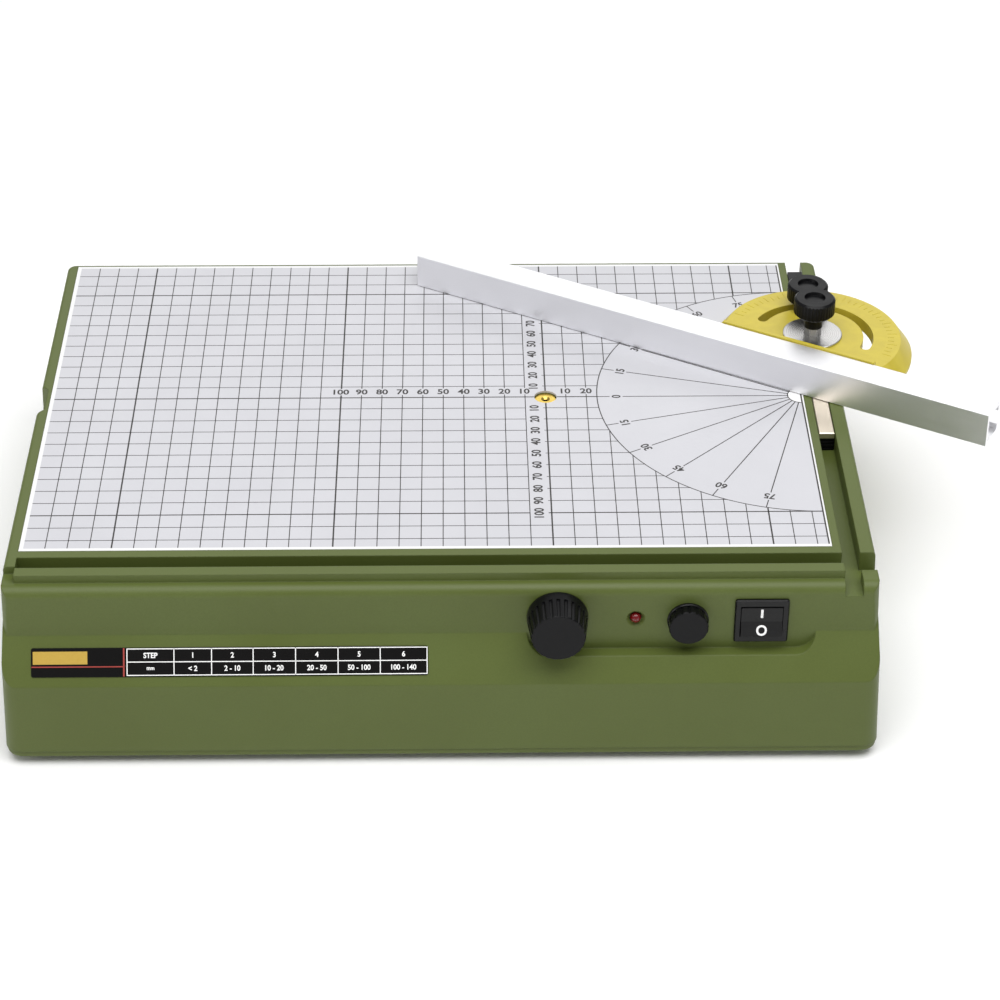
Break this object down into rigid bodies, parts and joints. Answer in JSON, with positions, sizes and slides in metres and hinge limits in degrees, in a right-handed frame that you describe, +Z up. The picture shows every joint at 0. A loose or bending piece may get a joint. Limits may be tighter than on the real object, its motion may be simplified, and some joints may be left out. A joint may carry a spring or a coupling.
{
  "type": "hot wire cutter",
  "caption": "Bench hot wire foam cutter: low case with a gridded table, control panel, guide grooves and a sliding mitre gauge with a swinging fence.",
  "frame": {"origin": "on the axis of the vertical hot wire, at the level of the table top", "axes": "+X to the operator's right along the table, +Y away from the operator, +Z up"},
  "size_m": [0.4673, 0.3095, 0.1244],
  "materials": {
    "green_case": "satin textured moulding",
    "work_sheet": "printed laminate",
    "black_plastic": "moulded, satin",
    "yellow_plastic": "moulded, satin",
    "aluminium": "brushed, clear anodised",
    "plated_steel": "bright plated",
    "steel": "zinc plated",
    "brass": "turned",
    "rubber": "moulded",
    "label_black": "printed foil",
    "led_red": "clear red epoxy",
    "fuse_glass": "clear tube",
    "laminations": "varnished sheet steel",
    "winding": "enamelled copper under tape",
    "circuit_board": "solder resist"
  },
  "bodies": {
    "case": {"housing": "green_case", "base_plate": "green_case", "work_sheet": "work_sheet", "rubber_feet": "rubber", "foot_screws": "steel", "foot_nuts": "steel", "case_screws": "steel", "wire_bush": "brass", "wire_clamp_bracket": "black_plastic", "wire_clamp_block": "brass", "wire_clamp_screw": "steel", "arm_nut_plate": "steel", "label_plate": "label_black", "potentiometer": "steel", "potentiometer_nut": "plated_steel", "led_lens": "led_red", "led_holder": "black_plastic", "fuse_holder": "black_plastic", "fuse_holder_nut": "black_plastic", "switch_body": "black_plastic", "switch_terminals": "brass", "transformer_core": "laminations", "transformer_coil": "winding", "transformer_bracket": "steel", "transformer_screws": "steel", "control_board": "circuit_board", "board_standoffs": "brass", "board_screws": "steel", "heatsink": "aluminium", "power_transistors": "black_plastic", "capacitors": "black_plastic", "terminal_block": "black_plastic", "cord_gland": "rubber"},
    "temperature_control": {"temperature_knob": "black_plastic", "potentiometer_shaft": "steel"},
    "fuse_carrier": {"fuse_glass": "fuse_glass", "fuse_ends": "plated_steel"},
    "fuse_cap": {"fuse_cap": "black_plastic"},
    "rocker": {"rocker": "black_plastic"},
    "slider": {"slider_bar": "aluminium", "slider_runner": "black_plastic", "slider_screws": "steel", "pivot_stud": "plated_steel", "pivot_washer": "plated_steel", "pivot_nut": "plated_steel", "lock_stud": "plated_steel", "lock_washer": "plated_steel"},
    "protractor": {"protractor": "yellow_plastic", "fence_t_nuts": "steel", "fence_screws": "steel"},
    "fence": {"fence_bar": "aluminium"},
    "pivot_knob": {"pivot_knob": "black_plastic"},
    "lock_knob": {"lock_knob": "black_plastic"}
  },
  "joints": [
    {"name": "temperature_turn", "type": "hinge", "parent": "case", "child": "temperature_control", "pos_m": [0.0012, -0.153, -0.02], "axis": [0, -1, 0], "range_deg": [-270, 0]},
    {"name": "fuse_pull", "type": "slide", "parent": "case", "child": "fuse_carrier", "axis": [0, -1, 0], "range_m": [0, 0.03]},
    {"name": "fuse_cap_turn", "type": "hinge", "parent": "fuse_carrier", "child": "fuse_cap", "pos_m": [0.06, -0.153, -0.0224], "axis": [0, -1, 0], "range_deg": [0, 90]},
    {"name": "rocker_press", "type": "hinge", "parent": "case", "child": "rocker", "pos_m": [0.0931, -0.1525, -0.0226], "axis": [1, 0, 0], "range_deg": [0, 16]},
    {"name": "slider_travel", "type": "slide", "parent": "case", "child": "slider", "axis": [0, 1, 0], "range_m": [-0.11, 0.04]},
    {"name": "protractor_swing", "type": "hinge", "parent": "slider", "child": "protractor", "pos_m": [0.1343, 0.0395, 0], "axis": [0, 0, 1], "range_deg": [-55, 114.5]},
    {"name": "fence_shift", "type": "slide", "parent": "protractor", "child": "fence", "axis": [0.8674, -0.4976, 0], "range_m": [-0.06, 0.12]},
    {"name": "pivot_knob_turn", "type": "hinge", "parent": "slider", "child": "pivot_knob", "pos_m": [0.1343, 0.0395, 0.02], "axis": [0, 0, 1], "range_deg": [0, 540]},
    {"name": "lock_knob_turn", "type": "hinge", "parent": "slider", "child": "lock_knob", "pos_m": [0.1343, 0.0674, 0.02], "axis": [0, 0, 1], "range_deg": [0, 540]}
  ]
}
